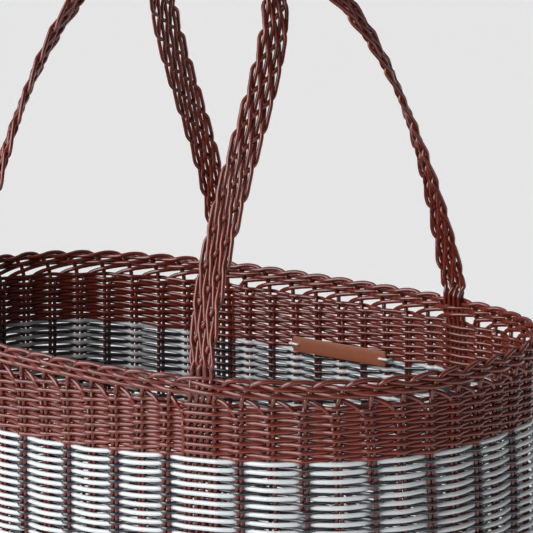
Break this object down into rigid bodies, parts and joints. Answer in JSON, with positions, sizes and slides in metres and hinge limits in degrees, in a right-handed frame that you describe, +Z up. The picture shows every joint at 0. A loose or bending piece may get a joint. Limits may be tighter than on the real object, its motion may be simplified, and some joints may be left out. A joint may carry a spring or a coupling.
{
  "type": "market basket",
  "caption": "Oblong market basket woven from round plastic cord, with a rolled border and plaited strap handles that bend outwards.",
  "frame": {"origin": "middle of the base's underside, on the surface that the basket stands on", "axes": "+Z up, +X along the basket's length, -Y towards the front handle's side"},
  "size_m": [0.4972, 0.316, 0.5112],
  "materials": {
    "brown_cord": "glossy extruded plastic cord, maroon brown",
    "checked_cord": "white and charcoal plastic cords woven row about",
    "white_cord": "glossy extruded plastic cord, white",
    "strap_cord": "glossy plaited plastic cord, maroon brown",
    "tag_leather": "tan leather, smooth, pale cut edges, blank"
  },
  "bodies": {
    "basket": {"base_mat": "brown_cord", "lower_band": "brown_cord", "checked_band": "checked_cord", "upper_band": "brown_cord", "rim_border": "brown_cord", "front_right_leg": "brown_cord", "back_right_leg": "brown_cord", "back_left_leg": "brown_cord", "front_left_leg": "brown_cord", "leather_tag": "tag_leather", "tag_tie_left": "white_cord", "tag_tie_right": "white_cord"},
    "front_handle": {"front_handle": "strap_cord"},
    "back_handle": {"back_handle": "strap_cord"}
  },
  "joints": [
    {"name": "front_handle_bend", "type": "hinge", "parent": "basket", "child": "front_handle", "pos_m": [0, -0.1426, 0.2457], "axis": [1, 0, 0], "range_deg": [0, 75], "stiffness_Nm_per_rad": 0.5},
    {"name": "back_handle_bend", "type": "hinge", "parent": "basket", "child": "back_handle", "pos_m": [0, 0.1426, 0.2457], "axis": [-1, 0, 0], "range_deg": [0, 75], "stiffness_Nm_per_rad": 0.5}
  ]
}
